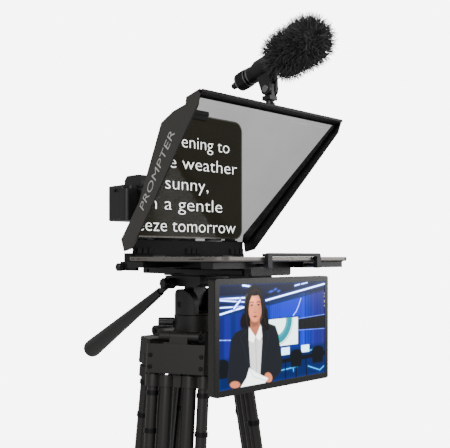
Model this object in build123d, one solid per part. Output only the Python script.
from build123d import *
import os
from math import atan, cos, degrees, hypot, radians, sin, tan

# Teleprompter on a twin-tube tripod, in millimetres. The origin is on the floor under the middle of
# the whole rig: +X is to the right as the presenter sees it, +Y points back to the camera, and +Z is up.
# Pieces above the tripod are drawn in the deck frame, whose origin is the middle of the tablet's
# front edge at the level of its glass, and the legs in a frame at each leg's hinge.

# ---- driving dimensions ----
DECK_HEIGHT = 1250.0        # floor to the tablet's glass
FRONT_REACH = 215.0         # tripod axis to the tablet's front edge
TRIPOD_Y = 7.5              # the tripod's axis, from the middle of the whole rig's depth
FIT = 0.3                   # gap between pieces that slide or turn on each other
THIN_GAP = 0.1              # gap round a pressed or glued insert
PIN_FIT = 0.06              # radial running clearance of a pin in its hole

TABLET_W, TABLET_D, TABLET_T = 280.6, 214.9, 6.4
TABLET_CORNER = 18.0

GLASS_PLANE = 246.8         # y + z of the mirror face: it stands at 45 degrees
GLASS_T = 3.0
GLASS_LOW, GLASS_HIGH = 27.0, 212.0
HOOD_HALF_LOW, HOOD_FLARE = 132.2, 0.0913   # half width at the tablet's level, and its growth per mm up
PANEL_T = 3.0

CAMERA_W, CAMERA_H, CAMERA_T = 116.0, 63.6, 46.0
CAMERA_BACK, CAMERA_BASE = 391.0, 64.0
LENS_R, LENS_Z = 33.0, 98.0

MONITOR_W, MONITOR_H, MONITOR_T = 242.0, 162.0, 17.0
MONITOR_FACE, MONITOR_TOP = 30.7, -30.0
SCREEN_W, SCREEN_H, SCREEN_DROP = 226.0, 144.2, 8.6

SLED_HALF, SLED_TOP, SLED_T = 45.0, -18.0, 10.0
SLED_FRONT, SLED_BACK = 56.2, 300.0
TILT_AXIS_Z = -78.0
PAN_R = 35.0
PAN_TOP, PAN_BOTTOM = -95.0, -121.0

HINGE_R, HINGE_Z = 68.0, -126.0             # leg hinge: from the tripod axis, and in the deck frame
LEG_LEAN = 8.5
TUBE_SPREAD, TUBE_R, TUBE_WALL = 42.0, 9.0, 1.5
MIDDLE_SPREAD, MIDDLE_R = 19.0, 11.0
LOWER_R = MIDDLE_R - TUBE_WALL - FIT
BLOCK_HALF, BLOCK_TOP, BLOCK_BOTTOM = 50.0, -9.0, -57.0
UPPER_END, MIDDLE_END = -560.0, -640.0
FOOT_R, FOOT_SINK = 24.0, 17.0

LEGS = {"front_left": 210.0, "front_right": -30.0, "rear": 90.0}

os.makedirs("parts", exist_ok=True)
deck = Pos(0, TRIPOD_Y - FRONT_REACH, DECK_HEIGHT)


def save(name, shape, place=deck):
    """Writes one node, moved from the frame it was drawn in to the part's frame."""
    solids = ShapeList(shape.solids()) if not isinstance(shape, list) else ShapeList(
        [s for item in shape for s in item.solids()])
    export_step(Compound(children=[place * s for s in solids]), f"parts/{name}.step")


def block(x0, x1, y0, y1, z0, z1):
    return Pos((x0 + x1) / 2, (y0 + y1) / 2, (z0 + z1) / 2) * Box(x1 - x0, y1 - y0, z1 - z0)


def rod_x(r, x0, x1, y, z):
    return Pos((x0 + x1) / 2, y, z) * Rot(0, 90, 0) * Cylinder(r, x1 - x0)


def rod_y(r, y0, y1, x, z):
    return Pos(x, (y0 + y1) / 2, z) * Rot(90, 0, 0) * Cylinder(r, y1 - y0)


def rod_z(r, z0, z1, x=0.0, y=0.0):
    return Pos(x, y, (z0 + z1) / 2) * Cylinder(r, z1 - z0)


def side_prism(points, x0, x1):
    """A profile given as (y, z) points, drawn out from x0 to x1."""
    face = make_face(Plane.YZ * Polyline(*points, close=True))
    return Pos(x0, 0, 0) * extrude(face, x1 - x0, dir=(1, 0, 0))


def round_slab(width, depth, z0, z1, corner, y0=0.0):
    """A flat slab with rounded corners, its front edge at y0 and centred on x."""
    return extrude(Pos(0, y0 + depth / 2, z0) * RectangleRounded(width, depth, corner), z1 - z0)


def fluted_knob(r, length, lobes=8, dip=2.0, turn=0.0):
    """A hand knob with finger flutes, standing on +Z."""
    knob = Pos(0, 0, length / 2) * Cylinder(r, length)
    knob = chamfer(knob.edges().filter_by(GeomType.CIRCLE), min(1.2, length / 5))
    for k in range(lobes):
        a = radians(360 / lobes * k + turn)
        knob -= Pos((r + dip) * cos(a), (r + dip) * sin(a), length / 2) * Cylinder(2 * dip, 2 * length)
    return knob


# ---- tablet ----
DISPLAY_EDGE, DISPLAY_DEPTH = 2.4, 1.0
tablet = round_slab(TABLET_W, TABLET_D, -TABLET_T, 0, TABLET_CORNER)
tablet = fillet(tablet.faces().sort_by(Axis.Z)[0].edges(), 2.0)
pocket = round_slab(TABLET_W - 2 * DISPLAY_EDGE, TABLET_D - 2 * DISPLAY_EDGE, -DISPLAY_DEPTH, 1,
                    TABLET_CORNER - DISPLAY_EDGE, DISPLAY_EDGE)
tablet -= pocket
for side in (-1, 1):        # two rows of speaker slots in each short end
    for row_y in (30.0, 160.0):
        for k in range(8):
            tablet -= Pos(side * TABLET_W / 2, row_y + 3.2 * k, -TABLET_T / 2) * Box(2.4, 1.8, 1.4)
save("tablet_body", tablet)
inset = DISPLAY_EDGE + THIN_GAP
save("tablet_display", round_slab(TABLET_W - 2 * inset, TABLET_D - 2 * inset, -DISPLAY_DEPTH, 0,
                                  TABLET_CORNER - inset, inset))

# ---- tray: an H of two bars and a spine, with ears for the hood's pivot ----
TRAY_TOP, TRAY_T = -TABLET_T - 1.0, 9.0
TRAY_BOTTOM = TRAY_TOP - TRAY_T
BAR_INSET, BAR_REAR_INSET, BAR_DEEP = 2.3, 2.9, 40.0    # from the tablet's outline; front to back
BAR_HALF, BAR_FRONT = TABLET_W / 2 - BAR_INSET, (16.0, 40.0)
BAR_REAR = (TABLET_D - BAR_REAR_INSET - BAR_DEEP, TABLET_D - BAR_REAR_INSET)
EAR_X, EAR_T = 124.0, 6.0
SPINE_HALF = 62.0
NOSE_HALF, NOSE_FRONT, NOSE_BACK = 43.0, 40.5, 56.0
STOP_T = 3.4
PIVOT_Y, PIVOT_Z, PIVOT_R = 238.0, -16.0, 3.0
JAW_ROD_X, JAW_ROD_R, JAW_ROD_Z = 52.0, 2.5, -12.0
tray = block(-BAR_HALF, BAR_HALF, *BAR_FRONT, TRAY_BOTTOM, TRAY_TOP)
tray += block(-BAR_HALF, BAR_HALF, *BAR_REAR, TRAY_BOTTOM, TRAY_TOP)
tray += block(-SPINE_HALF, SPINE_HALF, BAR_FRONT[0], BAR_REAR[1], TRAY_BOTTOM, TRAY_TOP)
tray -= block(-NOSE_HALF - FIT, NOSE_HALF + FIT, 0, NOSE_BACK + THIN_GAP, TRAY_BOTTOM - 1, TRAY_TOP + 1)
tray -= block(-SLED_HALF + 12, SLED_HALF - 12, 76, 150, TRAY_BOTTOM - 1, TRAY_TOP + 1)
for side in (-1, 1):
    arm = block(EAR_X - 12, EAR_X + EAR_T, BAR_REAR[0] + 10, PIVOT_Y, TRAY_BOTTOM, TRAY_TOP)
    ear = block(EAR_X, EAR_X + EAR_T, BAR_REAR[1] - 10, PIVOT_Y + 5, TRAY_BOTTOM - 5, TRAY_TOP)
    arm -= block(0, EAR_X, PIVOT_Y - 20, PIVOT_Y + 1, TRAY_BOTTOM - 1, TRAY_TOP + 1)
    piece = arm + ear - rod_x(PIVOT_R + PIN_FIT, EAR_X - 1, EAR_X + EAR_T + 1, PIVOT_Y, PIVOT_Z)
    tray += piece if side > 0 else mirror(piece, Plane.YZ)
    tray -= rod_y(JAW_ROD_R + FIT, BAR_FRONT[0] - 1, BAR_FRONT[1] + 30, side * JAW_ROD_X, JAW_ROD_Z)
for y in (67.0, BAR_REAR[1] - 14.0):
    tray += block(-30, 30, y - 9, y + 9, SLED_TOP, TRAY_BOTTOM + 1)
for sx in (-1, 1):      # upstands that the tablet's rear edge rests against
    tray += block(sx * 75 - 12, sx * 75 + 12, BAR_REAR[1] - 2, TABLET_D + STOP_T, TRAY_BOTTOM, TRAY_TOP)
    tray += block(sx * 75 - 12, sx * 75 + 12, TABLET_D + THIN_GAP, TABLET_D + STOP_T, TRAY_BOTTOM, 2.0)
save("tray_frame", tray)

# soft pads that the tablet lies on
PAD = 14.0
PAD_X, PAD_Y = BAR_HALF - 20.0, (sum(BAR_FRONT) / 2, sum(BAR_REAR) / 2)
pads = [block(sx * PAD_X - PAD, sx * PAD_X + PAD, y - 8, y + 8, TRAY_TOP, -TABLET_T)
        for sx in (-1, 1) for y in PAD_Y]
save("tray_pads", pads)

# ---- front jaw: an upturned U that hooks over the tablet's front edge, on two guide rods ----
JAW_HALF, JAW_BACK, JAW_FRONT = 57.0, -THIN_GAP, -7.0
jaw = Pos(0, JAW_BACK, 0) * extrude(
    Plane.XZ * Pos(0, -5.5) * RectangleRounded(2 * JAW_HALF, 22.0, 5.0), JAW_BACK - JAW_FRONT)
jaw -= block(-JAW_HALF + 9, JAW_HALF - 9, JAW_FRONT - 1, JAW_BACK + 1, -30, 1.2)
jaw += block(-JAW_HALF + 5, JAW_HALF - 5, JAW_BACK, 9.0, THIN_GAP + 0.4, 4.6)
for sx in (-1, 1):
    jaw += rod_y(JAW_ROD_R, JAW_BACK - 2, 66.0, sx * JAW_ROD_X, JAW_ROD_Z)
save("clamp_jaw", jaw)

# ---- sled: the base plate under the tray, its nose block and the camera rail ----
sled = block(-SLED_HALF, SLED_HALF, SLED_FRONT, SLED_BACK, SLED_TOP - SLED_T, SLED_TOP)
sled = chamfer(sled.edges().filter_by(Axis.Y), 2.0)
for y in (80.0, 130.0, 180.0):
    sled -= Pos(0, y, SLED_TOP - SLED_T / 2) * Box(22, 26, 30)
SHOE_T = 2.7
for sx in (-1, 1):      # quarter-inch accessory threads in the plate's long edges
    ends = sorted((sx * (SLED_HALF - 10.0), sx * (SLED_HALF + 1.0)))
    sled -= rod_x(3.2, *ends, SLED_BACK - 14.0, SLED_TOP - SLED_T / 2)
sled += block(-33, 33, FRONT_REACH - 50, FRONT_REACH + 42, SLED_TOP - SLED_T - SHOE_T, SLED_TOP - SLED_T)
save("sled_plate", sled)
nose = extrude(Pos(0, NOSE_BACK, -17.8) * Rot(90, 0, 0) * RectangleRounded(2 * NOSE_HALF, 20.4, 4.0),
               NOSE_BACK - NOSE_FRONT)
save("nose_block", nose)
RAIL_HALF, RAIL_T = 19.0, 6.0
rail = block(-RAIL_HALF, RAIL_HALF, 236.0, 392.0, SLED_TOP, SLED_TOP + RAIL_T)
rail -= block(-3.2, 3.2, 320.0, 382.0, SLED_TOP - 1, SLED_TOP + RAIL_T + 1)
save("camera_rail", rail)

# ---- camera riser, plate and screw ----
RISER_Y0, RISER_Y1 = 336.0, 366.0
RISER_BASE = SLED_TOP + RAIL_T + FIT
riser = block(-13, 13, RISER_Y0, RISER_Y1, RISER_BASE, CAMERA_BASE - 8)
riser -= block(-8, 8, RISER_Y0 - 1, RISER_Y1 + 1, RISER_BASE + 8, CAMERA_BASE - 16)
riser -= rod_z(3.3, RISER_BASE - 1, CAMERA_BASE, 0, (RISER_Y0 + RISER_Y1) / 2)
plate = block(-16, 16, RISER_Y0 - 2, RISER_Y1 + 2, CAMERA_BASE - 8, CAMERA_BASE)
plate -= rod_z(3.3, CAMERA_BASE - 9, CAMERA_BASE + 1, 0, (RISER_Y0 + RISER_Y1) / 2)
save("camera_riser", riser + plate)

# ---- camera ----
CAMERA_FRONT = CAMERA_BACK - CAMERA_T
body = block(-CAMERA_W / 2, CAMERA_W / 2, CAMERA_FRONT, CAMERA_BACK, CAMERA_BASE, CAMERA_BASE + CAMERA_H)
body = fillet(body.edges().filter_by(Axis.Y) + body.edges().filter_by(Axis.Z), 7.0)
grip = block(-CAMERA_W / 2, -CAMERA_W / 2 + 30, CAMERA_FRONT - 13, CAMERA_FRONT + 12,
             CAMERA_BASE, CAMERA_BASE + CAMERA_H - 8)
grip = fillet(grip.edges().filter_by(Axis.Z), 8.0)
hump = side_prism([(CAMERA_FRONT - 6, CAMERA_BASE + CAMERA_H - 4), (CAMERA_FRONT - 6, CAMERA_BASE + 72),
                   (CAMERA_FRONT + 4, CAMERA_BASE + 84), (CAMERA_BACK - 8, CAMERA_BASE + 84),
                   (CAMERA_BACK, CAMERA_BASE + 76), (CAMERA_BACK, CAMERA_BASE + CAMERA_H - 4)], -21, 21)
body = body + grip + hump
body -= block(-9.5, 9.5, CAMERA_FRONT + 12, CAMERA_BACK - 14, CAMERA_BASE + 82, CAMERA_BASE + 90)
SHUTTER = (-CAMERA_W / 2 + 16, CAMERA_FRONT - 1)
body -= rod_z(4.0 + FIT, CAMERA_BASE + CAMERA_H - 14, CAMERA_BASE + CAMERA_H + 1, *SHUTTER)
body -= rod_z(9.0, CAMERA_BASE + CAMERA_H - 9.9, CAMERA_BASE + CAMERA_H + 1, *SHUTTER)
TRIPOD_SOCKET = (0.0, (RISER_Y0 + RISER_Y1) / 2)
body -= rod_z(3.3, CAMERA_BASE - 1, CAMERA_BASE + 9, *TRIPOD_SOCKET)
body -= rod_y(LENS_R + THIN_GAP, CAMERA_FRONT - 30, CAMERA_FRONT, 0, LENS_Z)
for edge in (-46, 44):      # the rear screen's surround
    body -= block(edge, edge + 2, CAMERA_BACK - 1, CAMERA_BACK + 1, CAMERA_BASE + 7, CAMERA_BASE + 55)
DIAL, DIAL_STEM_R = (40.0, CAMERA_FRONT + 22), 2.0
body -= rod_z(DIAL_STEM_R + PIN_FIT, CAMERA_BASE + CAMERA_H - 5, CAMERA_BASE + CAMERA_H + 1, *DIAL)
save("camera_body", body)
save("shutter_button", rod_z(4.0, CAMERA_BASE + CAMERA_H - 12, CAMERA_BASE + CAMERA_H - 6.5, *SHUTTER))
dial = fluted_knob(9.0, 6.0, 16, 0.5) + rod_z(DIAL_STEM_R, -4.0, 1.0)
save("mode_dial", Pos(DIAL[0], DIAL[1], CAMERA_BASE + CAMERA_H + FIT) * dial)
BARREL = ((CAMERA_FRONT, 316.0), (294.0, 276.0))      # rear and front lengths of the lens barrel
bore = rod_y(24.0, 200, CAMERA_FRONT - 8, 0, LENS_Z)
barrel = rod_y(LENS_R, BARREL[0][1], BARREL[0][0], 0, LENS_Z)
barrel += rod_y(LENS_R, BARREL[1][1], BARREL[1][0], 0, LENS_Z)
barrel += rod_y(LENS_R - 4, BARREL[1][0], BARREL[0][1], 0, LENS_Z)
save("lens_barrel", barrel - bore)
ring = rod_y(LENS_R + 1.5, BARREL[1][0] + FIT, BARREL[0][1] - FIT, 0, LENS_Z)
save("focus_ring", ring - rod_y(LENS_R - 4 + PIN_FIT, 200, 400, 0, LENS_Z))
save("lens_front_element", rod_y(24.0 - THIN_GAP, 284.0, 290.0, 0, LENS_Z))

# ---- hood: two flared side panels, a folded roof, a back cover and the mirror between them ----
RIM_TOP, RIM_REAR = (27.0, 221.0), (55.0, 215.0)
ROOF_T, STRIP = 2.5, 4.0
cover_foot = GLASS_PLANE + (GLASS_T + STRIP + ROOF_T) / sin(radians(45)) + 1.2
cover_line = [(113.0, 189.2), (179.5, cover_foot - 179.5), (cover_foot - GLASS_LOW, GLASS_LOW)]
SIDE_OUTLINE = [RIM_TOP, RIM_REAR, (57.5, 206.0), (84.0, 201.0), *cover_line, (229.0, 8.5), (207.0, 13.0),
                (33.0, 201.4)]
lean = degrees(atan(HOOD_FLARE))


def half_width(z):
    return HOOD_HALF_LOW + HOOD_FLARE * z


def flared(outline, inset, thickness):
    """A flat sheet in the slope of the right-hand side panel, inset from its outer face."""
    rise = 1 / cos(radians(lean))
    sheet = side_prism([(y, z * rise) for y, z in outline], -inset - thickness, -inset)
    return Pos(HOOD_HALF_LOW, 0, 0) * Rot(0, lean, 0) * sheet


def inside_hood(clearance):
    """The space between the side panels' inner faces, less a clearance at each side."""
    z0, z1 = -20.0, 260.0
    w0, w1 = (half_width(z) - (PANEL_T + clearance) / cos(radians(lean)) for z in (z0, z1))
    face = make_face(Plane.XZ * Polyline((-w0, z0), (w0, z0), (w1, z1), (-w1, z1), close=True))
    return extrude(Pos(0, 400, 0) * face, 800, dir=(0, -1, 0))


def band(points, thickness):
    """A bent sheet: a line of (y, z) points thickened towards the inside of the hood."""
    (ya, za), (yb, zb) = points[0], points[-1]
    inner = []
    for k, (y, z) in enumerate(points):
        before, after = points[max(k - 1, 0)], points[min(k + 1, len(points) - 1)]
        dy, dz = after[0] - before[0], after[1] - before[1]
        n = hypot(dy, dz)
        inner.append((y + thickness * dz / n, z - thickness * dy / n))
    return side_prism(points + inner[::-1], -200, 200)


right = flared(SIDE_OUTLINE, 0, PANEL_T)
save("hood_side_panels", [right, mirror(right, Plane.YZ)])
roof = band([(55.5, 211.4), (57.5, 206.0), (84.0, 201.0), (113.0, 189.2)], ROOF_T) & inside_hood(THIN_GAP)
save("hood_roof", roof)
SLEEVE_R, SLEEVE_LENS_R = 43.0, LENS_R + 3.0
cover = (band(cover_line, ROOF_T) & inside_hood(THIN_GAP)) - roof
cover -= rod_y(SLEEVE_R - 4, 100, 300, 0, LENS_Z)
save("hood_back_cover", cover)
lip = band([(24.0, 221.2), RIM_REAR], 4.0) & inside_hood(THIN_GAP)
lip -= rod_z(3.2, 150, 300, 0, 44.0)
save("hood_top_lip", lip)

# mirror glass at 45 degrees, and the slim frame that holds its sides and foot
glass_face = [(GLASS_PLANE - GLASS_LOW, GLASS_LOW), (GLASS_PLANE - GLASS_HIGH, GLASS_HIGH)]
back = [(y + GLASS_T / sin(radians(45)), z) for y, z in glass_face]
GLASS_SIDE = 5.0
glass = side_prism(glass_face + back[::-1], -200, 200) & inside_hood(GLASS_SIDE)
save("beam_splitter_glass", glass)
rear_line = [(y + (GLASS_T + 0.05) / sin(radians(45)), z) for y, z in glass_face]
strip_line = [(y + STRIP / sin(radians(45)), z) for y, z in rear_line]
strips = side_prism(rear_line + strip_line[::-1], -200, 200)
strips = (strips & inside_hood(THIN_GAP)) - inside_hood(GLASS_SIDE + 4)
foot_y = GLASS_PLANE - GLASS_LOW
CHEEK_X = 117.0
sill = side_prism([(foot_y + 1.0, GLASS_LOW - 0.3), (foot_y + 4.4, GLASS_LOW - 0.3),
                   (foot_y + 9.0, GLASS_LOW - 9.0), (foot_y + 9.0, -4.0), (foot_y + 1.0, -4.0)],
                  -CHEEK_X, CHEEK_X)
for sx in (-1, 1):
    cheek = block(CHEEK_X - 5, EAR_X - 1.0, foot_y + 4.0, PIVOT_Y + 5, -21.0, 6.0)
    cheek -= rod_x(PIVOT_R + PIN_FIT, 100, 200, PIVOT_Y, PIVOT_Z)
    sill += cheek if sx > 0 else mirror(cheek, Plane.YZ)
save("glass_side_strips", strips)
save("glass_sill", sill)
tabs = [block(mid + step - 4, mid + step + 4, foot_y - 2.3, foot_y + 1.0, 5.0, 14.0)
        for mid in (-100, 0, 100) for step in (-11, 0, 11)]
save("sill_tabs", tabs)
EXTRA = EAR_X + EAR_T
for name, sx in (("left", -1), ("right", 1)):
    knob = Pos(sx * (EXTRA + FIT), PIVOT_Y, PIVOT_Z) * Rot(0, sx * 90, 0) * fluted_knob(6.5, 9.0, 8, 1.0)
    knob += rod_x(PIVOT_R, *sorted((sx * (CHEEK_X - 4), sx * (EXTRA + 3.0))), PIVOT_Y, PIVOT_Z)
    save(f"hood_pivot_knob_{name}", knob)
SLEEVE_FRONT, SLEEVE_END = 135.0, 274.0
sleeve_long = SLEEVE_END - SLEEVE_FRONT
sleeve = Solid.make_cone(SLEEVE_R, SLEEVE_LENS_R, sleeve_long)
sleeve -= Solid.make_cone(SLEEVE_R - 1.5, SLEEVE_LENS_R - 1.5, sleeve_long)
sleeve = Pos(0, SLEEVE_FRONT, LENS_Z) * Rot(-90, 0, 0) * sleeve
(ya, za), (yb, zb), (yc, zc) = [(y + THIN_GAP, z + THIN_GAP) for y, z in cover_line]
inside_cover = side_prism([(ya - (yb - ya), za - (zb - za)), (ya, za), (yb, zb), (yc + 40, zc - 40),
                           (-200, zc - 40), (-200, 400)], -200, 200)
save("lens_sleeve", sleeve - inside_cover)

# ---- microphone on the hood's lip ----
MIC_TILT = 13.0
CLIP_PIVOT_Z = 248.0
STUD_Y = 44.0
stud = rod_z(3.0, 212.0, 237.0, 0, STUD_Y) + rod_z(8.0, 222.2, 228.0, 0, STUD_Y)
stud += rod_z(6.0, 228.0, 232.0, 0, STUD_Y)
swivel = stud + block(-8, 8, STUD_Y - 8, STUD_Y + 8, 232.0, 238.5)
swivel += side_prism([(STUD_Y - 7, 238), (STUD_Y + 7, 238), (STUD_Y + 7, 256), (STUD_Y - 7, 256)], -3.5, 3.5)
swivel += rod_x(3.0, -9.3, 9.3, STUD_Y, CLIP_PIVOT_Z)
save("mic_stud", swivel)
mic_frame = Pos(0, STUD_Y, CLIP_PIVOT_Z) * Rot(-MIC_TILT, 0, 0)
MIC_RISE, MIC_R = 36.0, 13.0
clip = side_prism([(-9, 0), (9, 0), (13, 24), (-13, 24)], -9.5, 9.5) + rod_x(9.0, -9.5, 9.5, 0, 0)
clip -= block(-3.8, 3.8, -20, 20, -12, 13)
clip += rod_y(MIC_R + 3.0, -13, 13, 0, MIC_RISE)
clip -= rod_y(MIC_R + 0.05, -20, 20, 0, MIC_RISE)
clip -= block(-7, 7, -20, 20, MIC_RISE + 5, MIC_RISE + 30)
clip -= rod_x(3.0 + PIN_FIT, -20, 20, 0, 0)
save("mic_clip", clip, deck * mic_frame)
mic = rod_y(MIC_R, -26, 30, 0, MIC_RISE) + rod_y(MIC_R - 2, 30, 36, 0, MIC_RISE)
mic += rod_y(10.0, -104, -26, 0, MIC_RISE)
mic = mic + rod_y(MIC_R + 0.5, 36, 56, 0, MIC_RISE)
save("mic_body", mic + rod_y(5.0, 55.0, 66.0, 0, MIC_RISE), deck * mic_frame)
MUFF_R, MUFF_REAR_R = 26.0, 25.5
MUFF_FRONT, MUFF_BACK = -86.0, -41.0        # centres of the muff's two round ends
muff = Solid.make_cone(MUFF_REAR_R, MUFF_R, MUFF_BACK - MUFF_FRONT)
muff = Pos(0, MUFF_BACK, MIC_RISE) * Rot(90, 0, 0) * muff
muff += Pos(0, MUFF_FRONT, MIC_RISE) * Sphere(MUFF_R)
muff += Pos(0, MUFF_BACK, MIC_RISE) * Sphere(MUFF_REAR_R)
muff -= rod_y(10.0 + THIN_GAP, -104 - THIN_GAP, -20, 0, MIC_RISE)
muff -= rod_y(MIC_R + THIN_GAP, -26 - THIN_GAP, 20, 0, MIC_RISE)
save("mic_wind_muff", muff, deck * mic_frame)

# ---- talent monitor under the tray ----
MID_Z = MONITOR_TOP - MONITOR_H / 2
MONITOR_BACK = MONITOR_FACE + MONITOR_T
BEZEL_T = 3.0
outer = RectangleRounded(MONITOR_W, MONITOR_H, 4.0)
SCREEN_MID = MONITOR_TOP - SCREEN_DROP - SCREEN_H / 2


def upright(sketch, y_front, y_back, z_mid):
    """A flat sketch stood upright, its face towards the presenter."""
    return extrude(Pos(0, y_back, z_mid) * Rot(90, 0, 0) * sketch, y_back - y_front)


shell = upright(outer, MONITOR_FACE + BEZEL_T, MONITOR_BACK, MID_Z)
shell = chamfer(shell.faces().sort_by(Axis.Y)[-1].edges(), 3.0)
shell -= upright(RectangleRounded(MONITOR_W - 5, MONITOR_H - 5, 2.0), MONITOR_FACE, MONITOR_BACK - 3, MID_Z)
for sx in (-1, 1):
    for sz in (-1, 1):
        shell -= rod_y(2.0, MONITOR_BACK - 5, MONITOR_BACK + 1, sx * 37.5, MID_Z + sz * 37.5)
save("monitor_shell", shell)
bezel = upright(outer, MONITOR_FACE, MONITOR_FACE + BEZEL_T, MID_Z)
bezel -= upright(Rectangle(SCREEN_W, SCREEN_H), MONITOR_FACE - 1, MONITOR_FACE + BEZEL_T + 1, SCREEN_MID)
save("monitor_bezel", bezel)
panel = upright(Rectangle(SCREEN_W - 2 * THIN_GAP, SCREEN_H - 2 * THIN_GAP),
                MONITOR_FACE + 0.8, MONITOR_FACE + BEZEL_T, SCREEN_MID)
panel += upright(Rectangle(SCREEN_W + 6, SCREEN_H + 6), MONITOR_FACE + BEZEL_T, MONITOR_FACE + 6, SCREEN_MID)
save("monitor_panel", panel)
VESA_T, VESA_HALF = 4.0, 46.0
TILT_Y, TILT_Z = 66.0, -70.0
vesa = block(-VESA_HALF, VESA_HALF, MONITOR_BACK, MONITOR_BACK + VESA_T, MID_Z - VESA_HALF, MID_Z + VESA_HALF)
for sx in (-1, 1):
    for sz in (-1, 1):
        vesa -= rod_y(2.2, MONITOR_BACK - 1, MONITOR_BACK + VESA_T + 1, sx * 37.5, MID_Z + sz * 37.5)
vesa += side_prism([(MONITOR_BACK + VESA_T, TILT_Z - 20), (MONITOR_BACK + VESA_T, TILT_Z + 8),
                    (TILT_Y, TILT_Z + 8), (TILT_Y, TILT_Z - 8)], -8, 8) + rod_x(8.0, -8, 8, TILT_Y, TILT_Z)
vesa -= rod_x(3.0 + PIN_FIT, -10, 10, TILT_Y, TILT_Z)
save("monitor_mount_plate", vesa)
screws = [rod_y(1.9, MONITOR_BACK - 3, MONITOR_BACK + VESA_T, sx * 37.5, MID_Z + sz * 37.5)
          + rod_y(3.6, MONITOR_BACK + VESA_T, MONITOR_BACK + VESA_T + 2, sx * 37.5, MID_Z + sz * 37.5)
          for sx in (-1, 1) for sz in (-1, 1)]
save("monitor_screws", screws)
arm = block(-22, 22, 60, 110, SLED_TOP - SLED_T - 5, SLED_TOP - SLED_T)
for sx in (-1, 1):
    ear = block(8.4, 13.4, TILT_Y - 9, TILT_Y + 9, TILT_Z, SLED_TOP - SLED_T - 5)
    ear += rod_x(9.0, 8.4, 13.4, TILT_Y, TILT_Z)
    arm += ear if sx > 0 else mirror(ear, Plane.YZ)
arm += rod_x(3.0, -10, 10, TILT_Y, TILT_Z)
save("monitor_arm", arm)

# ---- fluid head: deck of the tilt platform, yoke, pan base ----
PLATE_Z = (-50.0, SLED_TOP - SLED_T - 3.0)
HEAD_Y = FRONT_REACH
platform = side_prism([(HEAD_Y - 60, PLATE_Z[1]), (HEAD_Y + 30, PLATE_Z[1]), (HEAD_Y + 30, PLATE_Z[0] + 6),
                       (HEAD_Y + 24, PLATE_Z[0] + 2), (HEAD_Y - 50, PLATE_Z[0] + 2),
                       (HEAD_Y - 60, PLATE_Z[0] + 8)], -40, 40)
tongue = block(-13.5, 13.5, HEAD_Y - 12, HEAD_Y + 12, TILT_AXIS_Z, PLATE_Z[0] + 2.1)
tongue += rod_x(12.0, -13.5, 13.5, HEAD_Y, TILT_AXIS_Z)
platform += tongue
platform -= rod_x(5.0 + PIN_FIT, -20, 20, HEAD_Y, TILT_AXIS_Z)
save("tilt_platform", platform)
YOKE_TOP_R = 27.5
yoke = rod_z(PAN_R - 1, PAN_TOP + FIT, PAN_TOP + 3, 0, HEAD_Y)
for sx in (-1, 1):
    ear = block(14.0, 34.0, HEAD_Y - YOKE_TOP_R + 2, HEAD_Y + YOKE_TOP_R - 2, PAN_TOP + 3, TILT_AXIS_Z)
    ear += rod_x(YOKE_TOP_R - 2, 14.0, 34.0, HEAD_Y, TILT_AXIS_Z)
    ear &= rod_z(PAN_R - 1, PAN_TOP + FIT, PLATE_Z[0] + 2, 0, HEAD_Y)
    ear -= rod_x(5.0, 10, 40, HEAD_Y, TILT_AXIS_Z)
    yoke += ear if sx > 0 else mirror(ear, Plane.YZ)
yoke -= rod_z(6.0 + PIN_FIT, PAN_TOP, PAN_TOP + 20, 0, HEAD_Y)
save("head_yoke", yoke)
save("tilt_shaft", rod_x(5.0, -33.0, 36.0, HEAD_Y, TILT_AXIS_Z))
save("tilt_lock_knob", Pos(36.2, HEAD_Y, TILT_AXIS_Z) * Rot(0, 90, 0) * fluted_knob(12.0, 14.0))
pan_base = rod_z(PAN_R, PAN_BOTTOM, PAN_TOP, 0, HEAD_Y)
pan_base = chamfer(pan_base.edges().sort_by(Axis.Z)[-1], 1.5)
pan_base += rod_z(6.0, PAN_TOP - 2, PAN_TOP + 2.7, 0, HEAD_Y)
BALL_R = 37.0
lower_half = block(-50, 50, HEAD_Y - 50, HEAD_Y + 50, PAN_BOTTOM - 24, PAN_BOTTOM)
pan_base += (Pos(0, HEAD_Y, PAN_BOTTOM) * Sphere(BALL_R)) & lower_half
pan_base += rod_z(7.0, PAN_BOTTOM - 60, PAN_BOTTOM - 20, 0, HEAD_Y)
LOCK_TURN = 137.0
lock = Pos(0, HEAD_Y, PAN_BOTTOM + 12) * Rot(0, 0, LOCK_TURN) * Pos(PAN_R + FIT, 0, 0) * Rot(0, 90, 0)
pan_base -= lock * rod_z(3.0 + PIN_FIT, -14, 1)
save("pan_base", pan_base)
save("pan_lock_knob", lock * (fluted_knob(8.5, 26.0, 6, 1.5) + rod_z(3.0, -13, 1)))

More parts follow.
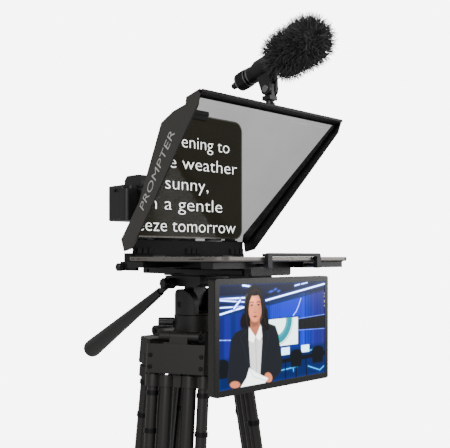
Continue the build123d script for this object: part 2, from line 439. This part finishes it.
# ---- pan handle on the left of the tilt platform ----
HANDLE_X, HANDLE_LONG, HANDLE_DROP = -46.0, 282.0, 28.6
handle_frame = Pos(HANDLE_X, HEAD_Y + 8, -43.0) * Rot(-HANDLE_DROP, 0, 0)
clamp = rod_x(9.0, -5.5, 5.5, 0, 0) + rod_y(5.2, 0, 24.0, 0, 0)
clamp -= rod_x(3.0 + PIN_FIT, -10, 10, 0, 0)
clamp_head = Pos(-7.0, 0, 0) * Rot(0, -90, 0) * fluted_knob(9.0, 10.0)
save("handle_clamp_screw", rod_x(3.0, -7.0, 5.9, 0, 0) + clamp_head,
     deck * handle_frame)
save("pan_handle_rod", clamp + rod_y(4.8, 22.0, HANDLE_LONG - 12, 0, 0), deck * handle_frame)
GRIP_START, GRIP_R = 30.0, 16.5
with BuildSketch(Plane.XY) as half:
    with BuildLine():
        Polyline((4.9, GRIP_START), (6.8, GRIP_START), (GRIP_R, HANDLE_LONG - 14))
        Spline((GRIP_R, HANDLE_LONG - 14), (GRIP_R - 3.2, HANDLE_LONG - 3), (0, HANDLE_LONG))
        Polyline((0, HANDLE_LONG), (0, HANDLE_LONG - 11.9), (4.9, HANDLE_LONG - 11.9), (4.9, GRIP_START))
    make_face()
save("pan_handle_grip", revolve(half.sketch, Axis.Y), deck * handle_frame)

# ---- tripod crown: a bowl ring with three pairs of hinge ears ----
tripod = Pos(0, TRIPOD_Y, DECK_HEIGHT)
CROWN_TOP, CROWN_BOTTOM, CROWN_R = PAN_BOTTOM - 1.0, -157.0, 54.0
KNUCKLE_HALF, EAR_HALF, KNUCKLE_R = 15.0, 33.0, 9.0
crown = rod_z(CROWN_R, CROWN_BOTTOM, CROWN_TOP)
crown = chamfer(crown.edges().filter_by(GeomType.CIRCLE), 2.0)
for turn in LEGS.values():
    for sy in (-1, 1):
        ear = block(30, HINGE_R, KNUCKLE_HALF + FIT, EAR_HALF, HINGE_Z - KNUCKLE_R, HINGE_Z + 4)
        ear += rod_y(KNUCKLE_R, KNUCKLE_HALF + FIT, EAR_HALF, HINGE_R, HINGE_Z)
        ear -= rod_y(4.0, 0, 60, HINGE_R, HINGE_Z)
        crown += Rot(0, 0, turn) * (ear if sy > 0 else mirror(ear, Plane.XZ))
    slot = block(HINGE_R - KNUCKLE_R - 1.5, HINGE_R + 30, -KNUCKLE_HALF - FIT, KNUCKLE_HALF + FIT,
                 HINGE_Z - 40, HINGE_Z + 40)
    crown -= Rot(0, 0, turn) * slot
crown -= Pos(0, 0, PAN_BOTTOM) * Sphere(BALL_R + 0.05)
crown -= rod_z(20.0, CROWN_BOTTOM - 1, PAN_BOTTOM)
save("tripod_crown", crown, tripod)
clamp_knob = Pos(0, 0, CROWN_BOTTOM - 60) * fluted_knob(19.0, 48.0, 6, 3.0)
clamp_knob += rod_z(10.0, CROWN_BOTTOM - 13, CROWN_BOTTOM - 2)
clamp_knob += rod_z(24.0, CROWN_BOTTOM - 4, CROWN_BOTTOM - FIT)
clamp_knob -= rod_z(7.0 + PIN_FIT, CROWN_BOTTOM - 30, CROWN_BOTTOM + 1)
save("bowl_clamp_knob", clamp_knob, tripod)
save("crown_hinge_pins", [Rot(0, 0, turn) * rod_y(4.0, -EAR_HALF - 2, EAR_HALF + 2, HINGE_R, HINGE_Z)
                          for turn in LEGS.values()], tripod)

# ---- legs: drawn hanging straight down from the hinge, X outwards and Y along the hinge ----
hinge_height = DECK_HEIGHT + HINGE_Z
foot_drop = (hinge_height - FOOT_SINK) / cos(radians(LEG_LEAN))
YOKE = (UPPER_END - 14.0, UPPER_END + 22.0)
BRIDGE = (BLOCK_BOTTOM - 21.0, BLOCK_BOTTOM - 3.0)
LOWER_TOP = MIDDLE_END + 190.0
both = (-1, 1)


def tube(r, wall, y, z0, z1):
    return rod_z(r, z0, z1, 0, y) - rod_z(r - wall, z0 - 1, z1 + 1, 0, y)


upper = [tube(TUBE_R, TUBE_WALL, s * TUBE_SPREAD, UPPER_END, BLOCK_BOTTOM + 18) for s in both]
hinge_block = block(-8, 18, -BLOCK_HALF, BLOCK_HALF, BLOCK_BOTTOM, BLOCK_TOP - 3.0)
hinge_block = chamfer(hinge_block.edges().filter_by(Axis.Z), 3.0)
hinge_block = Pos(0, 0, 0) * hinge_block + block(-4, 9, -KNUCKLE_HALF, KNUCKLE_HALF, BLOCK_TOP - 5, 0)
hinge_block += rod_y(KNUCKLE_R, -KNUCKLE_HALF, KNUCKLE_HALF, 0, 0)
hinge_block -= rod_y(4.0 + PIN_FIT, -50, 50, 0, 0)
hinge_block -= block(-9, 6, -26, 26, BLOCK_BOTTOM - 1, BLOCK_BOTTOM + 30)
yoke_block = block(-15, 15, -BLOCK_HALF - 2, BLOCK_HALF + 2, *YOKE)
yoke_block = fillet(yoke_block.edges().filter_by(Axis.Z), 8.0)
bridge = block(-6, 6, -TUBE_SPREAD, TUBE_SPREAD, *BRIDGE)
sleeves = []
for s in both:
    socket = rod_z(TUBE_R, UPPER_END, BLOCK_BOTTOM + 18, 0, s * TUBE_SPREAD)
    hinge_block -= socket
    yoke_block -= socket
    yoke_block -= rod_z(MIDDLE_R + FIT, -2000, 0, 0, s * MIDDLE_SPREAD)
    for y, r in ((s * TUBE_SPREAD, TUBE_R + 4), (s * MIDDLE_SPREAD, MIDDLE_R + 3)):
        bridge += rod_z(r, *BRIDGE, 0, y)
for s in both:
    bridge -= rod_z(TUBE_R + FIT, BRIDGE[0] - 1, BRIDGE[1] + 1, 0, s * TUBE_SPREAD)
    bridge -= rod_z(MIDDLE_R, BRIDGE[0] - 1, BRIDGE[1] - 3, 0, s * MIDDLE_SPREAD)
middle = [tube(MIDDLE_R, TUBE_WALL, s * MIDDLE_SPREAD, MIDDLE_END, BRIDGE[1] - 3) for s in both]
cuff = block(-14, 14, -MIDDLE_SPREAD - 18, MIDDLE_SPREAD + 18, MIDDLE_END - 4, MIDDLE_END + 30)
cuff = fillet(cuff.edges().filter_by(Axis.Z), 8.0)
for s in both:
    cuff -= rod_z(MIDDLE_R, MIDDLE_END, MIDDLE_END + 31, 0, s * MIDDLE_SPREAD)
    cuff -= rod_z(LOWER_R + FIT, MIDDLE_END - 5, MIDDLE_END + 1, 0, s * MIDDLE_SPREAD)
lower = [tube(LOWER_R, TUBE_WALL, s * MIDDLE_SPREAD, -foot_drop + 30, LOWER_TOP) for s in both]
shoe_block = block(-12, 12, -MIDDLE_SPREAD - 13, MIDDLE_SPREAD + 13, -foot_drop + 12, -foot_drop + 50)
shoe_block = fillet(shoe_block.edges().filter_by(Axis.Z), 7.0)
for s in both:
    shoe_block -= rod_z(LOWER_R, -foot_drop + 30, -foot_drop + 51, 0, s * MIDDLE_SPREAD)
for name, turn in LEGS.items():
    hang = Pos(0, TRIPOD_Y, 0) * Rot(0, 0, turn) * Pos(HINGE_R, 0, hinge_height) * Rot(0, -LEG_LEAN, 0)
    save(f"leg_{name}_upper", [*upper, hinge_block, yoke_block], hang)
    save(f"leg_{name}_middle", [*middle, bridge, cuff], hang)
    foot = Sphere(FOOT_R) + Cylinder(11.0, 24.0, align=(Align.CENTER, Align.CENTER, Align.MIN))
    foot = hang * Pos(0, 0, -foot_drop) * foot
    foot = foot - (hang * shoe_block)
    foot &= Pos(0, 0, 200) * Box(1500, 1500, 400)
    save(f"leg_{name}_lower", lower, hang)
    save(f"leg_{name}_foot", [hang * shoe_block, foot], Pos(0, 0, 0))
